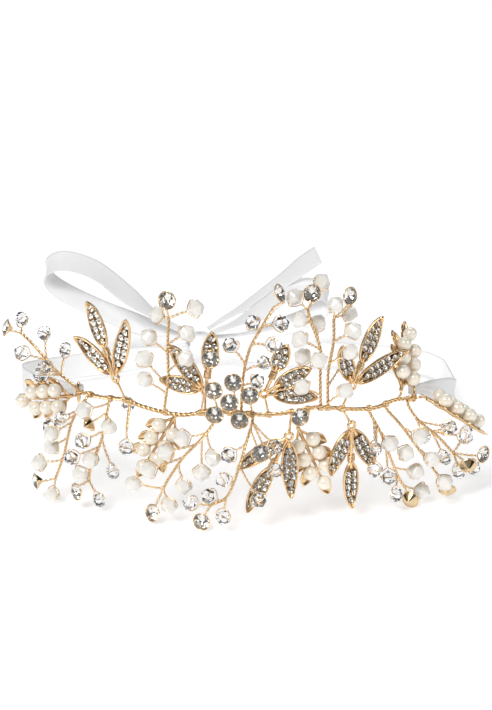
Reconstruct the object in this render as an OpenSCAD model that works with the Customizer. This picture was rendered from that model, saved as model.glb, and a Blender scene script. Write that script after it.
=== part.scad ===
// Bridal hair vine. A twisted wire spine is bent to the head. It carries beaded wire sprigs,
// paved leaf sprays, pearl sprays and a flower of set stones, and a satin ribbon closes it behind.
// Millimetres, +Z up, the wearer's face side at -Y, the origin on the table at the head's middle.

/* [Head curve] */
// Radius of the head that the vine is bent to
head_r = 80; // [79:0.5:81]
// Height of the spine above the table when the vine stands on its sprigs
spine_z = 41; // [41:0.5:46]

/* [Wires] */
// Diameter of the twisted spine
spine_d = 1.5; // [1.3:0.1:1.6]
// Diameter of a twisted sprig stem
stem_d = 1.0; // [0.8:0.1:1.1]
// Diameter of one bead's twisted branch
branch_d = 0.7; // [0.6:0.05:0.75]
// Diameter of the single wire that holds a bead
wire_d = 0.4; // [0.3:0.02:0.42]

/* [Beads and stones] */
// Diameter of an opal bicone bead
opal_d = 5.7; // [5.4:0.1:5.9]
// Diameter of a clear crystal bicone bead
crystal_d = 5; // [4.6:0.1:5.2]
// Diameter of the hole through a bead
bore_d = 0.56; // [0.5:0.02:0.6]
// Diameter of a round set stone
stone_d = 5.4; // [5.2:0.1:5.5]
// Diameter of a pearl
pearl_d = 4.9; // [4.6:0.1:5]
// Diameter of a paving stone on a leaf
pave_d = 2.1; // [1.9:0.05:2.15]

/* [Castings] */
// Width of a leaf blade
blade_w = 5.6; // [5.5:0.1:5.8]
// Thickness of a leaf blade
blade_t = 1.1; // [1:0.05:1.2]
// Thickness of a pearl spray's leaves
cup_t = 0.7; // [0.6:0.05:0.8]

/* [Ribbon] */
// Width of the satin ribbon
ribbon_w = 10; // [9:0.5:10.5]
// Thickness of the satin ribbon
ribbon_t = 0.4; // [0.3:0.05:0.5]

/* [Hidden] */

gap = 0.05;          // running gap that keeps neighbouring pieces apart
round_fn = 48;       // sides of a round piece as drawn
wire_fn = 24;        // sides of a wire as drawn
stem_step = 2.5;     // spacing of the rings along a stem
bead_l = 0.9;        // a bead's length over its diameter
bead_end = 0.5;      // a bead's flat end over its diameter
loop_r = 3.2;        // radius of the wire that hugs a bead
grip_r = stone_d / 2 + wire_d / 2 + gap;   // radius of the wire ring round a stone
ring_r = 3.2;        // radius of an end ring
ring_wire_d = 1;     // diameter of an end ring's wire
ring_at = [56.9, -53.2, -3];   // an end ring's middle: across, back, and up from the spine
spray_rows = [5, 10.4, 15.8];   // places of the pearl pairs along a spray
spray_tip = 21.2;    // place of a spray's last pearl
spray_half = 2.8;    // a pearl's distance from the spray's middle line
knot_at = [-18.5, 79, 12.5];
knot_r = 4.4;
knot_h = 9;

// Every place on the vine is [along the spine, up from it, out from the head], and a direction
// there is [along, up, out] too. Along is positive towards the wearer's left, the viewer's right.
spine_pts = [
  [-62.5, -1.5, 0], [-52, -1, 0], [-42, 0, 0], [-34, -1.5, 0], [-22, -2.5, 0], [-11, -0.5, 0],
  [0, -1, 0], [7, -1.5, 0], [14, -1, 0], [23, 0, 0], [30, -1, 0], [37, -2.5, 0], [46, -3.5, 0],
  [54, -2.5, 0], [62.5, -4, 0]];

// A sprig is [stems, opal beads, crystal beads, set stones]. A stem is a list of places. A bead is
// a place and the roll of its hole about its branch. A set stone is a place and the way it faces.
left_end = [
  [[[-63, 1, 2], [-69, 6, 5], [-76, 14, 9], [-79, 17, 11]]],
  [],
  [[[-82, 21, 9], 20], [[-73, 18, 6], -10], [[-75, 12, 14], 30], [[-67, 13, 2], 0],
   [[-72, 4, 9], 15], [[-68, 8, 10], 60]],
  [[[-84, 18, 14], [-0.3, 0.3, 1]]]];
top_left = [
  [[[-27, 0, 1], [-25.5, 10, 1.5], [-25.5, 22, 1.5], [-25, 31, 1.5]]],
  [[[-30, 31, -1], 20], [[-16, 35, 1], -15], [[-18.5, 27, 3], 10], [[-32, 24, 2], 0],
   [[-33, 17, 3.5], 25], [[-32.5, 10, 4], -20], [[-19, 18.5, 3.4], 15]],
  [],
  [[[-25, 37.5, 3], [0, 0.1, 1]]]];
top_middle = [
  [[[-1.5, 1, -0.5], [-1, 11, -0.3], [1, 21, 0.5], [5, 29, 1], [9, 36, 1.5]]],
  [],
  [[[-5, 23.5, 2], 0], [[2, 31.5, 3], 20], [[11.5, 30.5, 2], -15], [[9, 23.5, 3], 10],
   [[5.5, 18, 4], 75], [[3.5, 12, 5], -10]],
  [[[10.5, 41, 3], [0.8, 0.4, 0.5]]]];
top_right = [
  [[[25, 1, 0], [24.5, 10, 0.5], [24.5, 20, 0.5], [21, 30, 1], [20, 34, 1]],
   [[27.5, 1, 0], [27.5, 12, 0], [29, 22, 0.5], [29, 30, 0.5]]],
  [[[16, 38, -1.5], 10], [[26, 42, -3], 0], [[28, 36, 4], 30], [[25, 28, -3.5], 20],
   [[16.5, 25.5, 4.5], -10], [[18.5, 18, 0], 25], [[22.5, 18, 5], 0], [[17.5, 9, 4], -15],
   [[36, 30.5, -2], 20], [[34.5, 26.5, 4], -20], [[33, 19.5, 4.8], 10], [[36, 14, -4], 15],
   [[32, 6, 4], 0]],
  [],
  [[[20.5, 40.5, 4], [0, 0, 1]], [[33.5, 38, 3], [0.3, 0.1, 1]]]];
low_left_outer = [
  [[[-57, -2, 2], [-60, -10, 6], [-63, -22, 7], [-66.5, -32, 8]]],
  [[[-63.5, -14, 12], 10], [[-67, -20.5, 9], -15], [[-70, -26.5, 12], 20], [[-67, -38, 9], 0]],
  [[[-59, -7, 12], 20], [[-69, -14, 8], -10]],
  [[[-72, -34, 12], [-0.4, -0.1, 1]]]];
low_left_inner = [
  [[[-48, -2, 1], [-49, -14, 4], [-53, -25, 5], [-54, -30, 5]], [[-40, -2, 1], [-39.8, -9, 3]]],
  [[[-53.5, -4, 7.5], 15], [[-50, -20.5, 9], 0], [[-54, -26.5, 9.5], -20], [[-45, -8.5, 5.5], 25]],
  [[[-52.5, -14, 10], 20], [[-57, -21, 10], -15], [[-50.5, -36.5, 4], 10], [[-43.5, -3, -4], 0]],
  [[[-55.5, -10.5, 2.5], [0.2, 0.3, -1]], [[-57, -34, 8], [-0.2, 0, 1]]]];
low_left_middle = [
  [[[-10, -3, 2], [-14, -9, 3], [-20, -16, 3], [-25, -24, 3], [-27, -28, 3]]],
  [[[-19.5, -8, 7], 20], [[-25, -13.5, 6.5], -10], [[-30.5, -20.5, 7], 10], [[-35.5, -26, 7.3], -25],
   [[-20, -26.5, 3], 15], [[-14, -21, 4], 0], [[-10.5, -15.5, 3.5], 30], [[-25, -34, 3], 10]],
  [],
  [[[-30.5, -37, 4], [-0.3, 0.2, 1]]]];
low_middle = [
  [[[2, -3, 2], [0, -9, 6.5], [-3, -20, 8], [-6, -28, 6.5], [-11, -32, 4]]],
  [],
  [[[-5.5, -13.5, 6], 10], [[-7, -21.5, 7.5], -15], [[-11.5, -27.5, 7], 20], [[-17.5, -31, 6], 0],
   [[-7, -35, 7], 25], [[8.8, -9.5, 9], -10], [[8.8, -17.5, 9.5], 15], [[4, -28.5, 8], 0]],
  [[[-14, -37.85, 5], [-0.2, 0, 1]], [[4.2, -11, 10.5], [0, 0.1, 1]]]];
low_right_middle = [
  [[[43, -5, 1], [46, -11, 2], [49, -19, 3], [53, -28, 3], [56, -33, 3]]],
  [[[47, -14.5, 7], 10], [[52.5, -19, 8], -15], [[57.5, -27, 7.5], 20], [[62, -36, 6], 0]],
  [[[41, -15, 7.5], -20], [[41, -22.5, 7.5], 10], [[46.5, -26.5, 7], 25], [[50.5, -34, 6], -10]],
  [[[57.5, -37.85, 5], [0.9, 0.1, -0.4]]]];
low_right = [
  [[[50, -5, 1], [54, -11, 4], [59, -19, 6], [64, -27, 8]]],
  [[[56.5, -13.5, 10], 15], [[60, -22, 12], -10], [[64.5, -31.5, 13.5], 20]],
  [],
  [[[70, -37, 10], [0.6, 0.5, -0.5]]]];
right_end = [
  [[[60.5, -6, 0], [64, -12, 2], [69, -18, 6], [74, -25, 9]]],
  [],
  [[[62, -16, 6], 10], [[68, -13, 12], -15], [[75, -17, 6], 20], [[67, -24, 11], 0],
   [[74, -18, 14], 25], [[80, -19, 10], -10], [[73.5, -31, 12], 15], [[79, -31, 14], 0]],
  [[[80, -26, 17], [-0.3, 0, 1]], [[72, -27, 16.5], [0.7, 0.3, -0.6]]]];

// Beads that turn freely on their own wire: [place, roll of the hole, sprig]
loose_left = [[-39.5, -15.5, 4], 0];
loose_low = [[-43.5, -24, 6], 20];
loose_top = [[16.5, 32, 4], 80];

// The flower and the two stones by it: [place, foot on the spine]
flower = [
  [[-5, 5, 6.5], [-5.5, -0.8, 0]], [[-10.2, 8, 3.5], [-9, -0.6, 0]], [[-4, 11, 3.5], [-3, -0.9, 0]],
  [[1.2, 6.5, 3.5], [2, -1.2, 0]], [[-9.8, -0.3, 3.8], [-12.5, -0.7, 0]],
  [[-2, -2, 3.8], [0.5, -1, 0]], [[-11, 19, 4], [-15, -1.1, 0]], [[17, -1.5, 4], [20.5, -0.3, 0]]];

// A leaf spray: [hub, direction, facing, blades, bound blade, foot on the spine]. A blade is its
// turn from the spray's direction, where its leaf begins, and where its tip is.
leaf_left = [[-44, 8, 2], [0, 1, 0], [0, 0, 1],
  [[-52, 2, 19.5], [-22, 10.5, 27], [14, 2, 22]], 1, [-42, 0, 0]];
leaf_top_left = [[-13.5, 6, -1.5], [0, 1, 0], [0, 0, 1],
  [[-76, 2, 15.5], [-37, 2, 19.5], [7, 7.5, 21]], 2, [-13.5, -1, 0]];
leaf_top_middle = [[6, 5.5, -1.5], [0, 1, 0], [0, 0, 1],
  [[24, 8.5, 18.5], [60, 4, 17.5], [95, 3, 17.5]], 0, [7.5, -1.5, 0]];
leaf_top_right = [[36, 6, 0], [0, 1, 0], [0, 0, 1],
  [[-17, 2, 15.5], [24, 8.5, 25], [64, 2, 22.5]], 1, [32.5, -1.5, 0]];
leaf_low_left = [[13.5, -8, 3], [0, 1, 0], [0, 0, 1],
  [[-120, 3, 20], [-151, 12, 29], [-182, 2, 21.5]], 1, [15, -0.8, 0]];
leaf_low_right = [[35, -7, 2], [0, 1, 0], [0, 0, 1],
  [[-153, 2, 18], [-180, 13, 29], [153, 2, 18]], 1, [33, -1.8, 0]];
leaves = [leaf_left, leaf_top_left, leaf_top_middle, leaf_top_right, leaf_low_left,
  leaf_low_right];

// A pearl spray: [base, direction, facing]
spray_left = [[-60, -1, 5], [-0.95, -0.26, 0.1], [0, 0, 1]];
spray_low_left = [[-24, -3.5, -1.8], [-0.5, -0.84, 0], [0, 0, 1]];
spray_low_right = [[18.2, -8, -4.3], [0.4, -0.9, 0], [0, 0, 1]];
spray_right = [[55, 1, 1.5], [0.5, 0.6, -0.5], [0.2, 0.4, 1]];
spray_right_end = [[65, -4, 4], [0.7, -0.58, 0.43], [0.3, 1, 0.1]];

// Ribbon routes: [across, back, up, turn of the width from upright to level, width]
band_left_pts = [
  [-64.5, -38, 33, 0, 8], [-61.3, -43, 35.5, 0, 5], [-58.6, -48.5, 37.8, 0, 3.2],
  [-56.9, -48.6, 38, 0, 3.2], [-55.5, -50, 38, 0, 3.2], [-56.9, -51.4, 38, 0, 3.2],
  [-58.6, -50.2, 38, 0, 3.2], [-60.8, -45.8, 37, 0, 4],
  [-66, -37, 33, 0, 8], [-74, -18, 27, 0, 10], [-81.5, 8, 20.5, 0, 10], [-84.5, 30, 15, 0, 10],
  [-81, 48, 10.5, 0, 10], [-68, 62, 8, 0, 10], [-47, 71, 7.8, 0, 10], [-31, 76, 8.4, 0, 7],
  [-23.1, 78.5, 10.5, 0, 4]];
band_right_pts = [
  [64.5, -38, 33, 0, 8], [61.3, -43, 35.5, 0, 5], [58.6, -48.5, 37.8, 0, 3.2],
  [56.9, -48.6, 38, 0, 3.2], [55.5, -50, 38, 0, 3.2], [56.9, -51.4, 38, 0, 3.2],
  [58.6, -50.2, 38, 0, 3.2], [60.8, -45.8, 37, 0, 4],
  [66, -37, 33, 0, 8], [72.5, -20, 26.5, 0, 10], [77, 2, 18, 0, 10], [78.5, 24, 11.5, 0, 10],
  [78.5, 46, 8.2, 0, 10], [76.5, 60, 7.6, 0, 10], [67, 70, 7.6, 0, 10], [46, 76.5, 7.6, 0, 10],
  [22, 78.5, 7.8, 0, 10], [0, 79, 8.4, 0, 8], [-13.9, 79, 10.5, 0, 4]];
bow_left_pts = [
  [-23, 80, 14.2, 80, 4], [-30, 81.5, 15.5, 85, 7], [-42, 82.5, 18.5, 55, 10],
  [-59, 84, 25, 55, 10], [-74, 85, 32.5, 55, 10], [-80, 84.5, 39, 55, 10],
  [-78, 83.5, 44, 55, 10], [-71, 82.5, 45.5, 55, 10], [-59.5, 82, 41.5, 55, 10],
  [-47, 81, 31.5, 55, 10], [-35, 80, 22.5, 85, 8], [-22.8, 79.5, 16, 80, 4]];
bow_right_pts = [
  [-14.2, 79, 16.4, 80, 4], [-4, 79.5, 20.5, 85, 8], [6, 80, 25.5, 55, 10], [14, 81, 31.5, 55, 10],
  [22, 82, 34.5, 55, 10], [30, 83, 33, 55, 10], [32.5, 83, 28, 55, 10], [27, 82.5, 23, 55, 10],
  [14, 81.5, 18, 55, 9], [0, 80.5, 15, 85, 6], [-14, 80, 14, 80, 4]];
tail_up_pts = [
  [-15.5, 84.5, 16.5, 80, 3], [-6, 87, 22, 85, 6], [6, 86.7, 29, 55, 8], [15, 86.7, 36, 55, 9],
  [22, 86.6, 42, 55, 10], [29, 86.6, 47, 55, 10]];
tail_down_pts = [
  [-22.5, 84, 10.5, 70, 4], [-28, 86, 6, 85, 6], [-35, 86.6, 2, 90, 8], [-44, 86.6, 0.45, 90, 9],
  [-56, 86.6, 0.22, 90, 10]];

// ---- vectors ----
function unit(v) = v / norm(v);
function turn_at(p) = p[0] / head_r * 180 / PI;
function at(p) = let(a = turn_at(p), r = head_r + p[2])
  [r * sin(a), -r * cos(a), spine_z + p[1]];
function along(p) = [cos(turn_at(p)), sin(turn_at(p)), 0];
function outward(p) = [sin(turn_at(p)), -cos(turn_at(p)), 0];
function aim(p, d) = unit(d[0] * along(p) + [0, 0, d[1]] + d[2] * outward(p));
function square_to(v, axis) = unit(v - (v * axis) * axis);
function spin(v, axis, a) = v * cos(a) + cross(axis, v) * sin(a);
function catmull(a, b, c, d, t) =
  0.5 * (2 * b + (c - a) * t + (2 * a - 5 * b + 4 * c - d) * t * t
  + (3 * b - a - 3 * c + d) * t * t * t);
// A smooth run of points through the given ones, with n steps between each pair
function smooth(p, n) = let(last = len(p) - 1) [
  for (i = [0:last - 1]) for (k = [0:n - 1])
    catmull(i > 0 ? p[i - 1] : 2 * p[0] - p[1], p[i], p[i + 1],
      i + 2 > last ? 2 * p[last] - p[last - 1] : p[i + 2], k / n),
  p[last]];
function tangents(p) = let(last = len(p) - 1)
  [for (i = [0:last]) unit(p[min(i + 1, last)] - p[max(i - 1, 0)])];
// Sideways directions that follow the run without twisting
function sides_of(t) = [for (i = 0, n = square_to(abs(t[0][2]) < 0.9 ? [0, 0, 1] : [1, 0, 0], t[0]);
  i < len(t); i = i + 1, n = i < len(t) ? square_to(n, t[i]) : n) n];
function steps_for(p, step) = max(2, round(norm(p[0] - p[len(p) - 1]) / step / (len(p) - 1)));

// ---- building blocks ----
// A skin over rings of m points each, closed at both ends
module skin(points, m) {
  rings = len(points) / m;
  polyhedron(points, concat(
    [[for (j = [0:m - 1]) j]],
    [for (i = [0:rings - 2]) for (j = [0:m - 1]) let(k = (j + 1) % m)
      [i * m + j, (i + 1) * m + k, i * m + k]],
    [for (i = [0:rings - 2]) for (j = [0:m - 1]) let(k = (j + 1) % m)
      [i * m + j, (i + 1) * m + j, (i + 1) * m + k]],
    [[for (j = [m - 1:-1:0]) (rings - 1) * m + j]]));
}

module tube(path, d, m) {
  t = tangents(path);
  n = sides_of(t);
  skin([for (i = [0:len(path) - 1]) for (j = [0:m - 1]) let(a = 360 * j / m)
    path[i] + d / 2 * (cos(a) * n[i] + sin(a) * cross(t[i], n[i]))], m);
}

// A ribbon on edge or on its flat along a route of [x, y, z, turn, width]
module strip(route) {
  path = [for (q = route) [q[0], q[1], q[2]]];
  t = tangents(path);
  skin([for (i = [0:len(path) - 1])
    let(w = square_to([0, sin(route[i][3]), cos(route[i][3])], t[i]), n = cross(t[i], w))
    for (c = [[-1, -1], [1, -1], [1, 1], [-1, 1]])
      path[i] + c[0] * route[i][4] / 2 * w + c[1] * ribbon_t / 2 * n], 4);
}

module rod(a, b, d) {
  v = b - a;
  translate(a) rotate([0, acos(v[2] / norm(v)), atan2(v[1], v[0])])
    cylinder(d = d, h = norm(v), $fn = wire_fn);
}

// Stands its children at a point with +Y along dir and +Z as near face as it can be
module posed(origin, dir, face) {
  y = unit(dir);
  z = square_to(face, y);
  x = cross(y, z);
  multmatrix([
    [x[0], y[0], z[0], origin[0]], [x[1], y[1], z[1], origin[1]],
    [x[2], y[2], z[2], origin[2]], [0, 0, 0, 1]]) children();
}

module bicone(d) {
  l = d * bead_l / 2;
  rotate([0, 90, 0]) rotate_extrude($fn = round_fn)
    polygon([[bore_d / 2, -l], [d * bead_end / 2, -l], [d / 2, 0], [d * bead_end / 2, l],
      [bore_d / 2, l]]);
}

// The wire through a bead: a straight run in the hole and a round leg that hugs one side
module bead_loop() {
  rod([-loop_r - 0.15, 0, 0], [loop_r + 0.15, 0, 0], wire_d);
  rotate([0, 0, 180]) rotate_extrude(angle = 180, $fn = 32)
    translate([loop_r, 0]) circle(d = wire_d - 0.06, $fn = wire_fn);
}

// A faceted stone as a solid of revolution, its table at the top and its girdle at z = 0
module stone(d) {
  rotate_extrude($fn = round_fn)
    polygon([[0, -0.4 * d], [0.06 * d, -0.4 * d], [d / 2, -0.03 * d], [d / 2, 0.03 * d],
      [0.3 * d, 0.17 * d], [0, 0.17 * d]]);
}

// The wire ring that grips a stone's girdle
module stone_ring() {
  rotate_extrude($fn = round_fn) translate([grip_r, 0]) circle(d = wire_d, $fn = wire_fn);
}

module lens(l, w) {
  r = (l * l + w * w) / (4 * w);
  intersection_for(side = [-1, 1])
    translate([side * (r - w / 2), l / 2]) circle(r = r, $fn = 96);
}

// ---- sprigs ----
function stem_paths(sprig) = [for (s = sprig[0]) let(p = [for (q = s) at(q)])
  smooth(p, steps_for(p, stem_step))];
function nearest(path, c) = let(d = [for (p = path) norm(p - c)]) search(min(d), d)[0];
function pick_stem(paths, c) = let(d = [for (p = paths) min([for (q = p) norm(q - c)])])
  paths[search(min(d), d)[0]];
// Where a branch leaves its stem: from the end, or some way back from the nearest point
function root_index(path, c) = let(k = nearest(path, c), last = len(path) - 1)
  k == last ? last : max(0, k - round(0.8 * norm(c - path[k]) / norm(path[1] - path[0])));
// A branch's start, clear of the stem that it is wound into
function branch_start(path, i, c) = let(t = tangents(path)[i], d = unit(c - path[i]),
    ca = min(0.95, abs(t * d)), sa = sqrt(1 - ca * ca))
  path[i] + d * min((stem_d / 2 + gap + branch_d / 2 * ca) / sa,
    i == len(path) - 1 ? (gap + branch_d / 2 * sa) / ca : 9);
function hole_way(dir, place, roll) = spin(unit(cross(dir, outward(place))), dir, roll);

module bead_wire(path, place, roll) {
  c = at(place);
  root = branch_start(path, root_index(path, c), c);
  dir = unit(c - root);
  rod(root, c - dir * (loop_r + wire_d / 2 + 0.03), branch_d);
  posed(c, dir, cross(hole_way(dir, place, roll), dir)) bead_loop();
}

module bead(sprig, item, d) {
  c = at(item[0]);
  path = pick_stem(stem_paths(sprig), c);
  dir = unit(c - branch_start(path, root_index(path, c), c));
  posed(c, dir, cross(hole_way(dir, item[0], item[1]), dir)) bicone(d);
}

// The point on a stone's wire ring that is nearest to a place
function ring_point(item, from) = let(c = at(item[0]), f = aim(item[0], item[1]))
  c + square_to(from - c, f) * (grip_r + wire_d / 2 + branch_d / 2);

module stone_wire(path, item) {
  c = at(item[0]);
  root = branch_start(path, root_index(path, c), c);
  rod(root, ring_point(item, root), branch_d);
  faced(item[0], item[1]) stone_ring();
}

module sprig_wires(sprig, loose = []) {
  color("gold") {
    paths = stem_paths(sprig);
    for (p = paths) tube(p, stem_d, 6);
    for (b = concat(sprig[1], sprig[2], loose))
      bead_wire(pick_stem(paths, at(b[0])), b[0], b[1]);
    for (s = sprig[3]) stone_wire(pick_stem(paths, at(s[0])), s);
  }
}

module opals(sprig) { color("ivory") for (b = sprig[1]) bead(sprig, b, opal_d); }
module crystals(sprig) { color("lightcyan") for (b = sprig[2]) bead(sprig, b, crystal_d); }

module faced(place, facing) {
  posed(at(place), square_to([0, 0, 1], aim(place, facing)), aim(place, facing)) children();
}

sprigs = [left_end, top_left, top_middle, top_right, low_left_outer, low_left_inner,
  low_left_middle, low_middle, low_right_middle, low_right, right_end];
sprig_set = [for (s = sprigs) each s[3]];

module sprig_stones() { color("lightgray") for (s = sprig_set) faced(s[0], s[1]) stone(stone_d); }

// ---- spine, rings and flower ----
module spine_wire() { color("gold") tube(smooth([for (p = spine_pts) at(p)], 4), spine_d, 8); }

module end_ring(side) {
  color("gold") translate([side * ring_at[0], ring_at[1], spine_z + ring_at[2]]) rotate([0, 90, 0])
    rotate_extrude($fn = round_fn) translate([ring_r, 0]) circle(d = ring_wire_d, $fn = wire_fn);
}

module flower_wires() {
  color("gold") for (f = flower) {
    foot = at(f[1]);
    top = ring_point([f[0], [0, 0, 1]], foot);
    rod(foot + unit(top - foot) * (spine_d / 2 + gap + 0.2), top, branch_d);
    faced(f[0], [0, 0, 1]) stone_ring();
  }
}

module flower_stones() { color("lightgray") for (f = flower) faced(f[0], [0, 0, 1]) stone(stone_d); }

// ---- leaf sprays ----
hub_r = 1.9;
hub_hole_d = 1.2;
neck_w = 1.5;
pocket = 0.55;       // depth of a paving stone's seat
pave_pitch = 2.3;    // spacing of the paving stones
coil_d = 0.5;        // wire of a binding coil
coil_turns = 5;

function half_width(u, l) =
  blade_w / 2 * pow(max(0, sin(180 * pow(max(0, min(1, u / l)), 0.85))), 0.6);
// Seats of the paving stones on a blade of length l: pairs where it is wide, single at its ends
function seats(l) = [for (u = [l - 2.6:-pave_pitch:2]) let(h = half_width(u, l))
  each (h > 2.3 ? [[-pave_pitch / 2, u], [pave_pitch / 2, u]] : h > 1.2 ? [[0, u]] : [])];

module blade_outline(l) {
  ys = [for (i = [0:16]) l * (0.5 - 0.5 * cos(i * 180 / 16))];
  polygon(concat([for (y = ys) [half_width(y, l), y]],
    [for (i = [15:-1:1]) [-half_width(ys[i], l), ys[i]]]));
}

module leaf_spray(leaf) {
  color("gold") posed(at(leaf[0]), aim(leaf[0], leaf[1]), aim(leaf[0], leaf[2])) difference() {
    linear_extrude(blade_t) difference() {
      union() {
        circle(r = hub_r, $fn = round_fn);
        for (b = leaf[3]) {
          rotate(-b[0]) translate([0, b[1]]) blade_outline(b[2] - b[1]);
          rotate(-b[0]) translate([-neck_w / 2, 0]) square([neck_w, b[1] + 2]);
        }
      }
      circle(d = hub_hole_d, $fn = wire_fn);
    }
    for (b = leaf[3]) for (s = seats(b[2] - b[1]))
      rotate(-b[0]) translate([s[0], b[1] + s[1], blade_t - pocket])
        cylinder(d = pave_d + 2 * gap, h = blade_t, $fn = wire_fn);
  }
}

module leaf_stones(set) {
  color("lightgray") for (leaf = set)
    posed(at(leaf[0]), aim(leaf[0], leaf[1]), aim(leaf[0], leaf[2]))
      for (b = leaf[3]) for (s = seats(b[2] - b[1]))
        rotate(-b[0]) translate([s[0], b[1] + s[1], blade_t + 0.06])
          rotate_extrude($fn = wire_fn)
            polygon([[0, 0.02 - pocket], [0.2, 0.02 - pocket], [pave_d / 2, -0.1],
              [pave_d / 2, 0.05], [0.55, 0.4], [0, 0.4]]);
}

module leaf_bindings() {
  r = norm([neck_w, blade_t]) / 2 + coil_d / 2 + gap;
  color("gold") for (leaf = leaves) let(b = leaf[3][leaf[4]])
    posed(at(leaf[0]), aim(leaf[0], leaf[1]), aim(leaf[0], leaf[2]))
      for (k = [0:coil_turns - 1])
        rotate(-b[0]) translate([0, b[1] - 0.4 - k * (coil_d + gap), blade_t / 2]) rotate([90, 0, 0])
          rotate_extrude($fn = wire_fn) translate([r, 0]) circle(d = coil_d, $fn = 16);
}

module leaf_stems() {
  color("gold") for (leaf = leaves) {
    hub = at(leaf[0]);
    foot = at(leaf[5]);
    lift = outward(leaf[0]) * blade_t / 2;
    way = unit(hub + lift - foot);
    rod(foot + way * (spine_d / 2 + stem_d / 2 + gap), hub + lift - way * (hub_r + 0.4), stem_d);
  }
}

// ---- pearl sprays ----
peg_d = 0.8;
peg_h = 1.2;
leaf_turn = 42;      // a cupped leaf's turn from the spray's middle line
// Pearl places on a spray: [across, along, turn of its leaf]
pearl_places = concat(
  [for (y = spray_rows) for (s = [-1, 1]) [s * spray_half, y, s * leaf_turn]],
  [[0, spray_tip, 0]]);
cup_leaf_l = 7.6;
cup_leaf_w = 4.2;

module on_spray(spray) {
  posed(at(spray[0]), aim(spray[0], spray[1]), aim(spray[0], spray[2])) children();
}

module pearl_spray(spray) {
  color("gold") on_spray(spray) {
    linear_extrude(cup_t) {
      translate([-0.7, 0]) square([1.4, spray_tip - 1]);
      for (p = pearl_places)
        translate([p[0], p[1]]) rotate(-p[2]) translate([0, -cup_leaf_l / 2])
          lens(cup_leaf_l, cup_leaf_w);
    }
    for (p = pearl_places) translate([p[0], p[1], cup_t / 2])
      cylinder(d = peg_d, h = cup_t / 2 + peg_h, $fn = wire_fn);
  }
}

module pearls(spray) {
  color("linen") on_spray(spray) for (p = pearl_places)
    translate([p[0], p[1], cup_t + pearl_d / 2 + gap]) difference() {
      sphere(d = pearl_d, $fn = round_fn);
      translate([0, 0, -pearl_d / 2 - 1])
        cylinder(d = peg_d + 2 * gap, h = peg_h + 1 + gap, $fn = wire_fn);
    }
}

// ---- ribbon ----
module ribbon_band(route) { color("white") strip(smooth(route, 3)); }

module ribbon_knot() {
  color("white") translate(knot_at) rotate_extrude($fn = round_fn)
    polygon([[0, -knot_h / 2], [knot_r - 1.2, -knot_h / 2], [knot_r, -knot_h / 4],
      [knot_r, knot_h / 4], [knot_r - 1.2, knot_h / 2], [0, knot_h / 2]]);
}

module bow(loop, tail) { color("white") { strip(smooth(loop, 3)); strip(smooth(tail, 3)); } }

spine_wire();
end_ring(-1);  // end_ring_left
end_ring(1);  // end_ring_right
flower_wires();
flower_stones();
sprig_wires(left_end);  // left_end_wires
sprig_wires(top_left);  // top_left_wires
sprig_wires(top_middle);  // top_middle_wires
sprig_wires(top_right, [loose_top]);  // top_right_wires
sprig_wires(low_left_outer);  // low_left_outer_wires
sprig_wires(low_left_inner, [loose_left, loose_low]);  // low_left_inner_wires
sprig_wires(low_left_middle);  // low_left_middle_wires
sprig_wires(low_middle);  // low_middle_wires
sprig_wires(low_right_middle);  // low_right_middle_wires
sprig_wires(low_right);  // low_right_wires
sprig_wires(right_end);  // right_end_wires
crystals(left_end);  // left_end_crystals
opals(top_left);  // top_left_opals
crystals(top_middle);  // top_middle_crystals
opals(top_right);  // top_right_opals
opals(low_left_outer);  // low_left_outer_opals
opals(low_left_inner);  // low_left_inner_opals
crystals(low_left_outer);  // low_left_outer_crystals
crystals(low_left_inner);  // low_left_inner_crystals
opals(low_left_middle);  // low_left_middle_opals
crystals(low_middle);  // low_middle_crystals
crystals(low_right_middle);  // low_right_middle_crystals
opals(low_right_middle);  // low_right_middle_opals
opals(low_right);  // low_right_opals
crystals(right_end);  // right_end_crystals
color("lightcyan") bead(low_left_inner, loose_left, crystal_d);  // loose_crystal_left
color("lightcyan") bead(low_left_inner, loose_low, crystal_d);  // loose_crystal_low
color("ivory") bead(top_right, loose_top, opal_d);  // loose_opal_top
sprig_stones();
leaf_spray(leaf_left);  // leaf_spray_left
leaf_spray(leaf_top_left);  // leaf_spray_top_left
leaf_spray(leaf_top_middle);  // leaf_spray_top_middle
leaf_spray(leaf_top_right);  // leaf_spray_top_right
leaf_spray(leaf_low_left);  // leaf_spray_low_left
leaf_spray(leaf_low_right);  // leaf_spray_low_right
leaf_stones([leaf_left, leaf_top_left, leaf_top_middle, leaf_top_right]);  // leaf_stones_upper
leaf_stones([leaf_low_left, leaf_low_right]);  // leaf_stones_lower
leaf_bindings();
leaf_stems();
pearl_spray(spray_left);  // pearl_spray_left
pearl_spray(spray_low_left);  // pearl_spray_low_left
pearl_spray(spray_low_right);  // pearl_spray_low_right
pearl_spray(spray_right);  // pearl_spray_right
pearl_spray(spray_right_end);  // pearl_spray_right_end
pearls(spray_left);  // pearls_left
pearls(spray_low_left);  // pearls_low_left
pearls(spray_low_right);  // pearls_low_right
pearls(spray_right);  // pearls_right
pearls(spray_right_end);  // pearls_right_end
ribbon_band(band_left_pts);  // ribbon_band_left
ribbon_band(band_right_pts);  // ribbon_band_right
ribbon_knot();
bow(bow_left_pts, tail_down_pts);  // bow_left
bow(bow_right_pts, tail_up_pts);  // bow_right
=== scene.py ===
# %% [markdown]
# # A bridal hair vine
# A hair vine is jewellery made of wire. A rope of gold wires is bent to the head, and everything
# else is twisted into it: beads on thin wires, stones gripped by a wire ring, cast leaves and
# pearl sprays. A satin ribbon closes it behind the head. The script loads the measured frame,
# makes each finished piece where the frame has it, and hides the plain solid it stands for.

# %% Load the frame
import bpy, bmesh, math, random
import numpy as np
from mathutils import Matrix, Vector


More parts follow.
